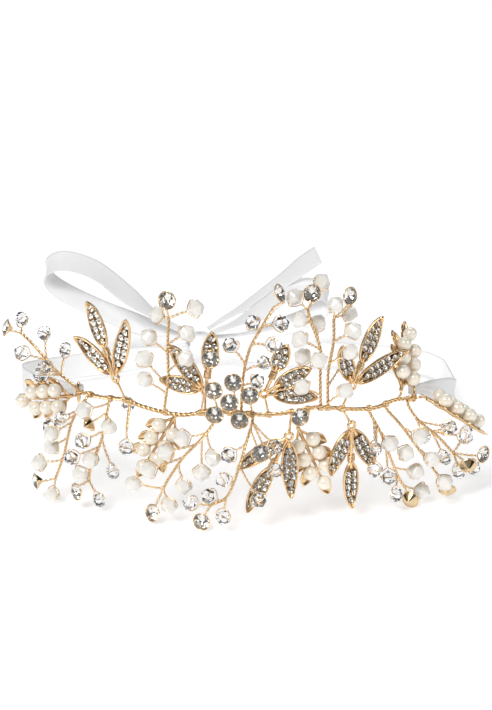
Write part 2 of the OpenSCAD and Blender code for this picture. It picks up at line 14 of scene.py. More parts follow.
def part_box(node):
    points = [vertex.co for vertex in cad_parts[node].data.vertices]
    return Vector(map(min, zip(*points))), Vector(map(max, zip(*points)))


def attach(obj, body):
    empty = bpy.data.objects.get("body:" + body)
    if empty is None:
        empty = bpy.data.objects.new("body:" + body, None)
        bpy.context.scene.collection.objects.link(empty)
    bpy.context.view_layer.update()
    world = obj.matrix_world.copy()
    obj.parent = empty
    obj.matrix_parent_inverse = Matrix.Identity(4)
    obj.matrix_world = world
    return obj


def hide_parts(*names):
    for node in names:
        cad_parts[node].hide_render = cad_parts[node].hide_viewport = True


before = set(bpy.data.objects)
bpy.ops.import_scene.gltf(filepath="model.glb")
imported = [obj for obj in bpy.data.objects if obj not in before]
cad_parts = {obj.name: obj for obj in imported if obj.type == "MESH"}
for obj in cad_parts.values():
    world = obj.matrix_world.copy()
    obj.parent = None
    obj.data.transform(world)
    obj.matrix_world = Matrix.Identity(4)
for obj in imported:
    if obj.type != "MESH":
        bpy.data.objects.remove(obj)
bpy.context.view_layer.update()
MM = 0.001
random.seed(7)

# %% [markdown]
# ## Where the vine stands
# The vine rests on its lower sprigs on a pale table. A long lens some way off keeps the curve of
# the vine from looking stretched. Jewellery is shown in bright, soft light from all around, so
# that metal and glass have white things to mirror, with a few darker parts that draw the edges.

# %% Camera
def look(camera, direction):
    camera.rotation_euler = Vector(direction).to_track_quat("-Z", "Y").to_euler()


camera = bpy.data.objects.new("camera", bpy.data.cameras.new("camera"))
bpy.context.collection.objects.link(camera)
camera.data.lens = 108.25
camera.location = (0, -0.7378, 0.2804)
tilt = math.radians(18.5)
look(camera, (0, math.cos(tilt), -math.sin(tilt)))
bpy.context.scene.camera = camera
bpy.context.scene.view_settings.view_transform = "Standard"
print("camera", tuple(round(v, 3) for v in camera.location))

# %% [markdown]
# ## Shader sums
# A material's numbers come from nodes. This small class wraps one socket, so that a sum such as
# `0.1 + 0.2 * noise` adds its own Math nodes, and `node` adds any other kind.

# %% The socket class
class Socket:
    def __init__(self, tree, socket=None):
        self.tree, self.socket = tree, socket

    def node(self, kind, settings, inputs, out=0):
        made = self.tree.nodes.new(kind)
        for key, value in settings.items():
            if key == "stops":
                while len(made.color_ramp.elements) < len(value):
                    made.color_ramp.elements.new(0.5)
                for stop, (place, colour) in zip(made.color_ramp.elements, value):
                    stop.position, stop.color = place, colour
            else:
                setattr(made, key, value)
        for key, value in inputs.items():
            if isinstance(value, Socket):
                self.tree.links.new(value.socket, made.inputs[key])
            else:
                made.inputs[key].default_value = value
        return Socket(self.tree, made.outputs[out])

    def sum(self, kind, a, b):
        return self.node("ShaderNodeMath", {"operation": kind}, {0: a, 1: b})

    def __add__(self, other):
        return self.sum("ADD", self, other)

    def __radd__(self, other):
        return self.sum("ADD", other, self)

    def __sub__(self, other):
        return self.sum("SUBTRACT", self, other)

    def __rmul__(self, other):
        return self.sum("MULTIPLY", other, self)

    def blend(self, a, b):
        return self.node("ShaderNodeMix", {"data_type": "RGBA"}, {0: self, 6: a, 7: b}, out=2)

    def into(self, shader, name):
        self.tree.links.new(self.socket, shader.inputs[name])


def finish(name, **sockets):
    material = bpy.data.materials.new(name)
    material.use_nodes = True
    shader = material.node_tree.nodes["Principled BSDF"]
    for key, value in sockets.items():
        shader.inputs[key.replace("_", " ")].default_value = value
    return material, Socket(material.node_tree), shader


def noise(start, scale, detail=2, coordinates=None):
    place = coordinates or start.node("ShaderNodeTexCoord", {}, {}, out="Object")
    return start.node("ShaderNodeTexNoise", {}, {"Vector": place, "Scale": scale, "Detail": detail})


def bump(start, height, shader, strength, distance):
    start.node("ShaderNodeBump", {}, {"Height": height, "Strength": strength,
        "Distance": distance}, out="Normal").into(shader, "Normal")


# %% [markdown]
# ## Gold
# The wire is plated brass, drawn smooth, so it is a metal with a low, slightly uneven roughness.
# Its colour drifts between a pale and a warmer gold, as thin plating does. The castings are the
# same gold with the soft dents of a small casting, which a Bump node gives without more faces.
# A darker copy of the gold is painted shade, laid on the upper faces of the leaf blades.

# %% Gold finishes
def gold(name, pale, warm, dents):
    material, start, shader = finish(name, Metallic=1.0, Specular_IOR_Level=0.6)
    drift = noise(start, 260)
    drift.blend(pale, warm).into(shader, "Base Color")
    (0.10 + 0.22 * noise(start, 1500)).into(shader, "Roughness")
    bump(start, noise(start, 1300, 3), shader, dents, 0.0002)
    return material


wire_gold = gold("wire_gold", (0.95, 0.75, 0.47, 1), (0.84, 0.57, 0.30, 1), 0.15)
cast_gold = gold("cast_gold", (0.94, 0.72, 0.44, 1), (0.80, 0.52, 0.26, 1), 0.6)
# Painted shade: a dark copy of the gold for the leaf blades' upper faces, standing for the shade among
# their rims and stones
shade_painted_gold = gold("shade_painted_gold", (0.50, 0.34, 0.18, 1), (0.30, 0.19, 0.09, 1), 0.6)
print("gold", wire_gold.name, cast_gold.name, shade_painted_gold.name)

# %% [markdown]
# ## Glass
# The clear beads and stones are cut glass. Light bends in them, so the shader transmits, with the
# index of lead glass. A stone's lower cone carries a mirror foil: silver as seen through the
# glass, gold on its bare outside. The opal beads are milky glass, where light also scatters.

# %% Glass finishes
def clear_glass(name, tint, index):
    material, start, shader = finish(name, Transmission_Weight=1.0, IOR=index)
    noise(start, 400).blend((*tint, 1), (1, 1, 1, 1)).into(shader, "Base Color")
    (0.02 * noise(start, 900)).into(shader, "Roughness")
    return material


def foil(name, light, dark):
    material, start, shader = finish(name, Metallic=1.0)
    noise(start, 1200).blend(light, dark).into(shader, "Base Color")
    (0.04 + 0.1 * noise(start, 2500)).into(shader, "Roughness")
    return material


def milky_glass():
    material, start, shader = finish("opal", Transmission_Weight=0.08, IOR=1.48,
        Subsurface_Weight=0.3, Subsurface_Radius=(1.0, 0.95, 0.85), Subsurface_Scale=0.002,
        Coat_Roughness=0.06)
    cloud = noise(start, 300, 4)
    cloud.blend((1.0, 0.975, 0.92, 1), (0.99, 0.94, 0.85, 1)).into(shader, "Base Color")
    (0.10 + 0.18 * cloud).into(shader, "Roughness")
    (0.35 + 0.3 * cloud).into(shader, "Coat Weight")
    return material


crystal = clear_glass("crystal", (0.97, 0.98, 1.0), 1.56)
stone_glass = clear_glass("stone_glass", (0.97, 0.97, 0.95), 1.56)
silver_foil = foil("silver_foil", (1.0, 0.98, 0.95, 1), (0.88, 0.86, 0.83, 1))
gold_foil = foil("gold_foil", (0.82, 0.66, 0.42, 1), (0.62, 0.47, 0.28, 1))
opal = milky_glass()
print("glass", crystal.name, stone_glass.name, opal.name)

# %% [markdown]
# ## Pearl and satin
# A glass pearl has a cream core under a thin lustrous coat: a smooth surface, a softer gloss
# below and a hard clear one on top. Satin shows its long threads, so its weave is fine lines
# along the ribbon, drawn on the ribbon's own UV map, with a denser selvedge at each edge.

# %% Pearl and satin finishes
def pearl_coat():
    material, start, shader = finish("pearl_coat", IOR=1.7, Coat_Roughness=0.03, Coat_IOR=1.8,
        Subsurface_Weight=0.1, Subsurface_Scale=0.001)
    lustre = noise(start, 350, 3)
    lustre.blend((1.0, 0.93, 0.81, 1), (0.94, 0.85, 0.69, 1)).into(shader, "Base Color")
    (0.14 + 0.10 * lustre).into(shader, "Roughness")
    (0.75 + 0.25 * lustre).into(shader, "Coat Weight")
    bump(start, noise(start, 5000), shader, 0.05, 0.00005)
    return material


def satin_weave():
    material, start, shader = finish("satin_weave", Sheen_Weight=0.35, Sheen_Roughness=0.3,
        Specular_IOR_Level=0.45)
    uv = start.node("ShaderNodeTexCoord", {}, {}, out="UV")
    threads = start.node("ShaderNodeTexWave", {"bands_direction": "X"}, {"Vector": uv,
        "Scale": 3.2, "Distortion": 0.6, "Detail": 1.0}, out="Fac")
    across = start.node("ShaderNodeSeparateXYZ", {}, {"Vector": uv}, out="X")
    middle = start.sum("ABSOLUTE", across - 5.0, 0.0)
    selvedge = start.sum("GREATER_THAN", middle, 4.55)
    cloud = noise(start, 0.35, 2, uv)
    (0.5 * cloud + 0.5 * selvedge).blend((0.985, 0.985, 0.985, 1),
        (0.88, 0.88, 0.89, 1)).into(shader, "Base Color")
    (0.38 + 0.12 * threads + 0.1 * selvedge).into(shader, "Roughness")
    bump(start, threads + 1.5 * selvedge, shader, 0.12, 0.00006)
    return material


pearl = pearl_coat()
satin = satin_weave()
print("finishes", len(bpy.data.materials))

# %% [markdown]
# ## Places on the vine
# The vine lies on a cylinder, the head. A place is given in millimetres as how far along the
# spine it is, how far up and how far out from the head, so a sprig is as easy to place as on a
# flat drawing. These are the design's own places, and the last cell prints how far the finished
# pieces reach outside the boxes of the solids that they stand for.

# %% Design sizes, in millimetres
head_r, spine_z = 80, 41
spine_d, stem_d, branch_d, wire_d = 1.5, 1.0, 0.7, 0.4
opal_d, crystal_d, stone_d, pearl_d, pave_d = 5.7, 5, 5.4, 4.9, 2.1
blade_w, blade_t, pave_pitch = 5.6, 1.1, 2.3
gap, ring_r, hub_r = 0.05, 3.2, 1.9
grip_r = stone_d / 2 + wire_d / 2 + gap
ring_at = (56.9, -53.2, -3)
knot_at, knot_r, knot_h = (-18.5, 79, 12.5), 4.4, 9
spine_reach, wrap_reach = 62.2, 61  # how far from the middle a foot may stand, and be wrapped
rope_strand, stem_strand, wrap_wire = 0.74, 0.52, 0.42
satin_t, cup_length, cup_width = 0.32, 7.6, 4.0
bead_half = 0.45  # half a bead's length, for a diameter of 1
bead_hole_r = 0.3
pearl_places = [(side * 2.8, y, side * 42) for y in (5, 10.4, 15.8) for side in (-1, 1)]
pearl_places.append((0, 21.2, 0))

# %% Design places
# A direction on the vine is [along, up, out]
UP, OUT = (0, 1, 0), (0, 0, 1)
spine_pts = [
  [-62.5, -1.5, 0], [-52, -1, 0], [-42, 0, 0], [-34, -1.5, 0], [-22, -2.5, 0], [-11, -0.5, 0],
  [0, -1, 0], [7, -1.5, 0], [14, -1, 0], [23, 0, 0], [30, -1, 0], [37, -2.5, 0], [46, -3.5, 0],
  [54, -2.5, 0], [62.5, -4, 0]]

# A sprig is [stems, opal beads, crystal beads, set stones]. A stem is a list of places. A bead is
# a place and the roll of its hole about its branch. A set stone is a place and the way it faces.
left_end = [
  [[[-63, 1, 2], [-69, 6, 5], [-76, 14, 9], [-79, 17, 11]]],
  [],
  [[[-82, 21, 9], 20], [[-73, 18, 6], -10], [[-75, 12, 14], 30], [[-67, 13, 2], 0],
   [[-72, 4, 9], 15], [[-68, 8, 10], 60]],
  [[[-84, 18, 14], [-0.3, 0.3, 1]]]]
top_left = [
  [[[-27, 0, 1], [-25.5, 10, 1.5], [-25.5, 22, 1.5], [-25, 31, 1.5]]],
  [[[-30, 31, -1], 20], [[-16, 35, 1], -15], [[-18.5, 27, 3], 10], [[-32, 24, 2], 0],
   [[-33, 17, 3.5], 25], [[-32.5, 10, 4], -20], [[-19, 18.5, 3.4], 15]],
  [],
  [[[-25, 37.5, 3], [0, 0.1, 1]]]]
top_middle = [
  [[[-1.5, 1, -0.5], [-1, 11, -0.3], [1, 21, 0.5], [5, 29, 1], [9, 36, 1.5]]],
  [],
  [[[-5, 23.5, 2], 0], [[2, 31.5, 3], 20], [[11.5, 30.5, 2], -15], [[9, 23.5, 3], 10],
   [[5.5, 18, 4], 75], [[3.5, 12, 5], -10]],
  [[[10.5, 41, 3], [0.8, 0.4, 0.5]]]]
top_right = [
  [[[25, 1, 0], [24.5, 10, 0.5], [24.5, 20, 0.5], [21, 30, 1], [20, 34, 1]],
   [[27.5, 1, 0], [27.5, 12, 0], [29, 22, 0.5], [29, 30, 0.5]]],
  [[[16, 38, -1.5], 10], [[26, 42, -3], 0], [[28, 36, 4], 30], [[25, 28, -3.5], 20],
   [[16.5, 25.5, 4.5], -10], [[18.5, 18, 0], 25], [[22.5, 18, 5], 0], [[17.5, 9, 4], -15],
   [[36, 30.5, -2], 20], [[34.5, 26.5, 4], -20], [[33, 19.5, 4.8], 10], [[36, 14, -4], 15],
   [[32, 6, 4], 0]],
  [],
  [[[20.5, 40.5, 4], [0, 0, 1]], [[33.5, 38, 3], [0.3, 0.1, 1]]]]
low_left_outer = [
  [[[-57, -2, 2], [-60, -10, 6], [-63, -22, 7], [-66.5, -32, 8]]],
  [[[-63.5, -14, 12], 10], [[-67, -20.5, 9], -15], [[-70, -26.5, 12], 20], [[-67, -38, 9], 0]],
  [[[-59, -7, 12], 20], [[-69, -14, 8], -10]],
  [[[-72, -34, 12], [-0.4, -0.1, 1]]]]
low_left_inner = [
  [[[-48, -2, 1], [-49, -14, 4], [-53, -25, 5], [-54, -30, 5]], [[-40, -2, 1], [-39.8, -9, 3]]],
  [[[-53.5, -4, 7.5], 15], [[-50, -20.5, 9], 0], [[-54, -26.5, 9.5], -20], [[-45, -8.5, 5.5], 25]],
  [[[-52.5, -14, 10], 20], [[-57, -21, 10], -15], [[-50.5, -36.5, 4], 10], [[-43.5, -3, -4], 0]],
  [[[-55.5, -10.5, 2.5], [0.2, 0.3, -1]], [[-57, -34, 8], [-0.2, 0, 1]]]]
low_left_middle = [
  [[[-10, -3, 2], [-14, -9, 3], [-20, -16, 3], [-25, -24, 3], [-27, -28, 3]]],
  [[[-19.5, -8, 7], 20], [[-25, -13.5, 6.5], -10], [[-30.5, -20.5, 7], 10], [[-35.5, -26, 7.3], -25],
   [[-20, -26.5, 3], 15], [[-14, -21, 4], 0], [[-10.5, -15.5, 3.5], 30], [[-25, -34, 3], 10]],
  [],
  [[[-30.5, -37, 4], [-0.3, 0.2, 1]]]]
low_middle = [
  [[[2, -3, 2], [0, -9, 6.5], [-3, -20, 8], [-6, -28, 6.5], [-11, -32, 4]]],
  [],
  [[[-5.5, -13.5, 6], 10], [[-7, -21.5, 7.5], -15], [[-11.5, -27.5, 7], 20], [[-17.5, -31, 6], 0],
   [[-7, -35, 7], 25], [[8.8, -9.5, 9], -10], [[8.8, -17.5, 9.5], 15], [[4, -28.5, 8], 0]],
  [[[-14, -37.85, 5], [-0.2, 0, 1]], [[4.2, -11, 10.5], [0, 0.1, 1]]]]
low_right_middle = [
  [[[43, -5, 1], [46, -11, 2], [49, -19, 3], [53, -28, 3], [56, -33, 3]]],
  [[[47, -14.5, 7], 10], [[52.5, -19, 8], -15], [[57.5, -27, 7.5], 20], [[62, -36, 6], 0]],
  [[[41, -15, 7.5], -20], [[41, -22.5, 7.5], 10], [[46.5, -26.5, 7], 25], [[50.5, -34, 6], -10]],
  [[[57.5, -37.85, 5], [0.9, 0.1, -0.4]]]]
low_right = [
  [[[50, -5, 1], [54, -11, 4], [59, -19, 6], [64, -27, 8]]],
  [[[56.5, -13.5, 10], 15], [[60, -22, 12], -10], [[64.5, -31.5, 13.5], 20]],
  [],
  [[[70, -37, 10], [0.6, 0.5, -0.5]]]]
right_end = [
  [[[60.5, -6, 0], [64, -12, 2], [69, -18, 6], [74, -25, 9]]],
  [],
  [[[62, -16, 6], 10], [[68, -13, 12], -15], [[75, -17, 6], 20], [[67, -24, 11], 0],
   [[74, -18, 14], 25], [[80, -19, 10], -10], [[73.5, -31, 12], 15], [[79, -31, 14], 0]],
  [[[80, -26, 17], [-0.3, 0, 1]], [[72, -27, 16.5], [0.7, 0.3, -0.6]]]]

# Beads that turn freely on their own wire: [place, roll of the hole]
loose_left = [[-39.5, -15.5, 4], 0]
loose_low = [[-43.5, -24, 6], 20]
loose_top = [[16.5, 32, 4], 80]

# The flower and the two stones by it: [place, foot on the spine]
flower = [
  [[-5, 5, 6.5], [-5.5, -0.8, 0]], [[-10.2, 8, 3.5], [-9, -0.6, 0]], [[-4, 11, 3.5], [-3, -0.9, 0]],
  [[1.2, 6.5, 3.5], [2, -1.2, 0]], [[-9.8, -0.3, 3.8], [-12.5, -0.7, 0]],
  [[-2, -2, 3.8], [0.5, -1, 0]], [[-11, 19, 4], [-15, -1.1, 0]], [[17, -1.5, 4], [20.5, -0.3, 0]]]

# A leaf spray: [hub, blades, bound blade, foot on the spine]. A blade is its turn from upright in
# degrees, and how far from the hub its leaf begins and ends.
leaf_left = [[-44, 8, 2],
  [[-52, 2, 19.5], [-22, 10.5, 27], [14, 2, 22]], 1, [-42, 0, 0]]
leaf_top_left = [[-13.5, 6, -1.5],
  [[-76, 2, 15.5], [-37, 2, 19.5], [7, 7.5, 21]], 2, [-13.5, -1, 0]]
leaf_top_middle = [[6, 5.5, -1.5],
  [[24, 8.5, 18.5], [60, 4, 17.5], [95, 3, 17.5]], 0, [7.5, -1.5, 0]]
leaf_top_right = [[36, 6, 0],
  [[-17, 2, 15.5], [24, 8.5, 25], [64, 2, 22.5]], 1, [32.5, -1.5, 0]]
leaf_low_left = [[13.5, -8, 3],
  [[-120, 3, 20], [-151, 12, 29], [-182, 2, 21.5]], 1, [15, -0.8, 0]]
leaf_low_right = [[35, -7, 2],
  [[-153, 2, 18], [-180, 13, 29], [153, 2, 18]], 1, [33, -1.8, 0]]

# A pearl spray: [base, direction, facing]
spray_left = [[-60, -1, 5], [-0.95, -0.26, 0.1], [0, 0, 1]]
spray_low_left = [[-24, -3.5, -1.8], [-0.5, -0.84, 0], [0, 0, 1]]
spray_low_right = [[18.2, -8, -4.3], [0.4, -0.9, 0], [0, 0, 1]]
spray_right = [[55, 1, 1.5], [0.5, 0.6, -0.5], [0.2, 0.4, 1]]
spray_right_end = [[65, -4, 4], [0.7, -0.58, 0.43], [0.3, 1, 0.1]]

# Ribbon routes: [across, back, up, turn of the width from upright to level, width]
through_ring = [
  [64.5, -38, 33, 0, 8], [61.3, -43, 35.5, 0, 5], [58.6, -48.5, 37.8, 0, 3.2],
  [56.9, -48.6, 38, 0, 3.2], [55.5, -50, 38, 0, 3.2], [56.9, -51.4, 38, 0, 3.2],
  [58.6, -50.2, 38, 0, 3.2], [60.8, -45.8, 37, 0, 4]]
band_left_pts = [[-p[0], *p[1:]] for p in through_ring] + [
  [-66, -37, 33, 0, 8], [-74, -18, 27, 0, 10], [-81.5, 8, 20.5, 0, 10], [-84.5, 30, 15, 0, 10],
  [-81, 48, 10.5, 0, 10], [-68, 62, 8, 0, 10], [-47, 71, 7.8, 0, 10], [-31, 76, 8.4, 0, 7],
  [-23.1, 78.5, 10.5, 0, 4]]
band_right_pts = through_ring + [
  [66, -37, 33, 0, 8], [72.5, -20, 26.5, 0, 10], [77, 2, 18, 0, 10], [78.5, 24, 11.5, 0, 10],
  [78.5, 46, 8.2, 0, 10], [76.5, 60, 7.6, 0, 10], [67, 70, 7.6, 0, 10], [46, 76.5, 7.6, 0, 10],
  [22, 78.5, 7.8, 0, 10], [0, 79, 8.4, 0, 8], [-13.9, 79, 10.5, 0, 4]]
bow_left_pts = [
  [-23, 80, 14.2, 80, 4], [-30, 81.5, 15.5, 85, 7], [-42, 82.5, 18.5, 55, 10],
  [-59, 84, 25, 55, 10], [-74, 85, 32.5, 55, 10], [-80, 84.5, 39, 55, 10],
  [-78, 83.5, 44, 55, 10], [-71, 82.5, 45.5, 55, 10], [-59.5, 82, 41.5, 55, 10],
  [-47, 81, 31.5, 55, 10], [-35, 80, 22.5, 85, 8], [-22.8, 79.5, 16, 80, 4]]
bow_right_pts = [
  [-14.2, 79, 16.4, 80, 4], [-4, 79.5, 20.5, 85, 8], [6, 80, 25.5, 55, 10], [14, 81, 31.5, 55, 10],
  [22, 82, 34.5, 55, 10], [30, 83, 33, 55, 10], [32.5, 83, 28, 55, 10], [27, 82.5, 23, 55, 10],
  [14, 81.5, 18, 55, 9], [0, 80.5, 15, 85, 6], [-14, 80, 14, 80, 4]]
tail_up_pts = [
  [-15.5, 84.5, 16.5, 80, 3], [-6, 87, 22, 85, 6], [6, 86.7, 29, 55, 8], [15, 86.7, 36, 55, 9],
  [22, 86.6, 42, 55, 10], [29, 86.6, 47, 55, 10]]
tail_down_pts = [
  [-22.5, 84, 10.5, 70, 4], [-28, 86, 6, 85, 6], [-35, 86.6, 2, 90, 8], [-44, 86.6, 0.45, 90, 9],
  [-56, 86.6, 0.22, 90, 10]]

sprigs = dict(left_end=left_end, top_left=top_left, top_middle=top_middle, top_right=top_right,
    low_left_outer=low_left_outer, low_left_inner=low_left_inner,
    low_left_middle=low_left_middle, low_middle=low_middle, low_right_middle=low_right_middle,
    low_right=low_right, right_end=right_end)
print("sprigs", len(sprigs), "beads", sum(len(s[1]) + len(s[2]) for s in sprigs.values()) + 3)

# %% [markdown]
# ## Directions and runs
# A wire's run is a list of points joined by a smooth curve. A sideways direction is carried along
# the run without letting it turn, so that strands laid round it twist evenly.

# %% Directions
def unit(v):
    return np.asarray(v, float) / np.linalg.norm(v)


def at(p):
    turn, r = p[0] / head_r, head_r + p[2]
    return np.array([r * math.sin(turn), -r * math.cos(turn), spine_z + p[1]])


def outward(p):
    return np.array([math.sin(p[0] / head_r), -math.cos(p[0] / head_r), 0.0])


def aim(p, d):
    across = np.array([math.cos(p[0] / head_r), math.sin(p[0] / head_r), 0.0])
    return unit(d[0] * across + d[1] * np.array([0, 0, 1.0]) + d[2] * outward(p))


def square_to(v, axis):
    v = np.asarray(v, float)
    return unit(v - (v @ axis) * axis)


def turned(v, axis, degrees):
    a = math.radians(degrees)
    return v * math.cos(a) + np.cross(axis, v) * math.sin(a)


def stand(origin, way, face):
    """A matrix that stands a drawing at origin, its +Y along way and its +Z near face"""
    y = unit(way)
    z = square_to(face, y)
    x = np.cross(y, z)
    return Matrix([[x[i], y[i], z[i], origin[i]] for i in range(3)] + [[0, 0, 0, 1]])


def spot(matrix, place):
    return np.array(matrix @ Vector(place))


def moved(matrix, places):
    return [spot(matrix, p) for p in places]


# %% Runs
def smooth(places, steps):
    p = [np.asarray(q, float) for q in places]
    p = [2 * p[0] - p[1], *p, 2 * p[-1] - p[-2]]
    run = []
    for a, b, c, d in zip(p, p[1:], p[2:], p[3:]):
        for t in np.arange(steps) / steps:
            run.append(0.5 * (2 * b + (c - a) * t + (2 * a - 5 * b + 4 * c - d) * t * t
                + (3 * b - a - 3 * c + d) * t ** 3))
    return np.array(run + [p[-2]])


def distances(run):
    return np.concatenate([[0], np.cumsum(np.linalg.norm(np.diff(run, axis=0), axis=1))])


def evenly(run, step):
    run = np.asarray(run, float)
    far = distances(run)
    at_far = np.linspace(0, far[-1], max(3, int(round(far[-1] / step)) + 1))
    return np.stack([np.interp(at_far, far, run[:, i]) for i in range(3)], axis=1)


def tangents(run):
    run = np.asarray(run)
    last = len(run) - 1
    return [unit(run[min(i + 1, last)] - run[max(i - 1, 0)]) for i in range(last + 1)]


def sides(ways, first=None):
    side = first if first is not None else ([0, 0, 1] if abs(ways[0][2]) < 0.9 else [1, 0, 0])
    found = []
    for way in ways:
        side = square_to(side, way)
        found.append(side)
    return found


def twist(run, strands, radius, pitch, first=None):
    """Strands laid round a run, one turn in each pitch"""
    ways = tangents(run)
    rope = [[] for _ in range(strands)]
    for point, way, side, s in zip(run, ways, sides(ways, first), distances(run)):
        for k in range(strands):
            a = 2 * math.pi * (s / pitch + k / strands)
            rope[k].append(point + radius * (math.cos(a) * side + math.sin(a) * np.cross(way, side)))
    return rope


def coil(centre, way, radius, turns, pitch, flat=1.0, first=None):
    """A wire wound round a bar: radius one way, and flat times it the other"""
    way = unit(way)
    side = sides([way], first)[0]
    other = np.cross(way, side)
    run = []
    for i in range(int(turns * 12) + 1):
        a = 2 * math.pi * i / 12
        run.append(centre + way * (i / 12 - turns / 2) * pitch
            + radius * (math.cos(a) * side + flat * math.sin(a) * other))
    return run


# %% [markdown]
# ## Making a piece
# A wire is a curve object: one poly spline for each strand, given its thickness by the curve's
# bevel. That is far lighter to write than a mesh, and it stays round. A cut stone or a casting is
# a mesh: one drawing is made once with bmesh and copied to every place it is needed. Every piece
# rides on a body of the frame and replaces the plain solids it stands for.

# %% Piece makers
made = []


def place_piece(obj, body, nodes):
    if obj.name not in bpy.context.collection.objects:
        bpy.context.collection.objects.link(obj)
    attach(obj, body)
    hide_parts(*nodes)
    made.append((obj, nodes))
    return obj


def wire_piece(name, runs, nodes, material=None):
    """A curve piece. runs are (points in mm, diameter or diameters, closed)"""
    curve = bpy.data.curves.new(name, "CURVE")
    curve.dimensions, curve.bevel_depth, curve.bevel_resolution = "3D", 0.5 * MM, 1
    curve.use_fill_caps = True
    for points, thick, closed in runs:
        spline = curve.splines.new("POLY")
        spline.points.add(len(points) - 1)
        co = np.ones((len(points), 4))
        co[:, :3] = np.asarray(points) * MM
        spline.points.foreach_set("co", co.ravel())
        spline.points.foreach_set("radius", np.broadcast_to(np.asarray(thick, float), len(points)).copy())
        spline.use_cyclic_u = closed
    curve.materials.append(material or wire_gold)
    return place_piece(bpy.data.objects.new(name, curve), "vine", nodes)


def mesh_piece(name, copies, materials, nodes, body="vine", smooth_faces=False):
    """A mesh piece. copies are (bmesh drawing in mm, matrix in mm)"""
    whole = bmesh.new()
    for drawing, matrix in copies:
        before = len(whole.verts)
        whole.from_mesh(drawing)
        whole.verts.ensure_lookup_table()
        bmesh.ops.transform(whole, matrix=matrix, verts=whole.verts[before:])
    bmesh.ops.scale(whole, vec=(MM, MM, MM), verts=whole.verts)
    if smooth_faces:
        for face in whole.faces:
            face.smooth = True
    mesh = bpy.data.meshes.new(name)
    whole.to_mesh(mesh)
    whole.free()
    for material in materials:
        mesh.materials.append(material)
    return place_piece(bpy.data.objects.new(name, mesh), body, nodes)


def drawing(bm, name):
    """Closes, turns outwards and stores a drawing that will be copied"""
    bmesh.ops.remove_doubles(bm, verts=bm.verts, dist=1e-4)
    bmesh.ops.recalc_face_normals(bm, faces=bm.faces)
    mesh = bpy.data.meshes.new(name)
    bm.to_mesh(mesh)
    bm.free()
    return mesh


# %% [markdown]
# ## Cut glass
# A bicone bead and a set stone are both rings of points, each ring half a facet round from the
# last. A circle is extruded from ring to ring, and every twisted four-sided face is cut along its
# short diagonal, which gives the alternating triangles of a real cut.

# %% Facet maker
def cut(rings, facets, closed):
    """rings are (radius, height, facet steps turned). A closed cut runs back to its first ring."""
    bm = bmesh.new()
    edge = bmesh.ops.create_circle(bm, segments=facets, radius=rings[0][0], cap_ends=False,
        matrix=Matrix.Translation((0, 0, rings[0][1])))["verts"]
    edge = list({e for v in edge for e in v.link_edges})
    first = edge
    for (r0, _, t0), (r1, z1, t1) in zip(rings, rings[1:]):
        out = bmesh.ops.extrude_edge_only(bm, edges=edge)["geom"]
        verts = [g for g in out if isinstance(g, bmesh.types.BMVert)]
        edge = [g for g in out if isinstance(g, bmesh.types.BMEdge)
            and all(v in set(verts) for v in g.verts)]
        turn = Matrix.Rotation((t1 - t0) * 2 * math.pi / facets, 3, "Z")
        for v in verts:
            v.co = turn @ Vector((v.co.x * r1 / r0, v.co.y * r1 / r0, z1))
    if not closed:
        bmesh.ops.edgeloop_fill(bm, edges=first)
        bmesh.ops.edgeloop_fill(bm, edges=edge)
    bent = [f for f in bm.faces if len(f.verts) == 4]
    bmesh.ops.triangulate(bm, faces=bent, quad_method="SHORT_EDGE")
    return bm


def bicone(d, name):
    half, r = bead_half * d, bead_hole_r
    rings = [(r, -half, 0), (0.24 * d, -half, 0), (d / 2, -0.05 * d, 0.5),
        (d / 2, 0.05 * d, 0.5), (0.24 * d, half, 1), (r, half, 1), (r, -half, 1)]
    bm = cut(rings, 10, True)
    bmesh.ops.rotate(bm, matrix=Matrix.Rotation(math.pi / 2, 3, "Y"), verts=bm.verts)
    return drawing(bm, name)


def stone(d, facets, name):
    rings = [(0.27 * d, 0.18 * d, 0), (0.43 * d, 0.10 * d, 0.5), (d / 2, 0.03 * d, 1),
        (d / 2, -0.03 * d, 1), (0.06 * d, -0.38 * d, 1.5)]
    bm = cut(rings, facets, False)
    for face in bm.faces:
        centre = face.calc_center_median()
        face.material_index = 1 if centre.z < -0.031 * d else 0
    return drawing(bm, name)


def cone_back(d, name):
    rings = [(0.525 * d, -0.02 * d, 0), (0.09 * d, -0.42 * d, 0), (0.01 * d, -0.43 * d, 0),
        (0.01 * d, -0.405 * d, 0), (0.08 * d, -0.395 * d, 0), (0.51 * d, -0.04 * d, 0),
        (0.525 * d, -0.02 * d, 0)]
    bm = cut(rings, 12, True)
    for face in bm.faces:
        face.material_index = 2
    return drawing(bm, name)


opal_cut, crystal_cut = bicone(opal_d, "opal_cut"), bicone(crystal_d, "crystal_cut")
stone_cut, pave_cut = stone(stone_d, 12, "stone_cut"), stone(1.08 * pave_d, 8, "pave_cut")
stone_back = cone_back(stone_d, "stone_back")
print("faces: bead", len(opal_cut.polygons), "stone", len(stone_cut.polygons),
    "paving stone", len(pave_cut.polygons))

# %% [markdown]
# ## Sprigs
# A sprig starts as one long wire. A bead is threaded on it, the wire is bent back round the bead
# and both legs are twisted together, so each bead sits in a loop on a twisted branch, and the
# branches run together into a stem. So a bead's wire is drawn as one strand: up the branch, out
# round the bead, through its hole and back down the branch, twisted with its own first leg.

# %% Where each branch leaves its stem
def stem_runs(sprig):
    runs = []
    for stem in sprig[0]:
        p = [at(q) for q in stem]
        steps = max(2, math.floor(np.linalg.norm(p[0] - p[-1]) / 2.5 / (len(p) - 1) + 0.5))
        runs.append(smooth(p, steps))
    return runs


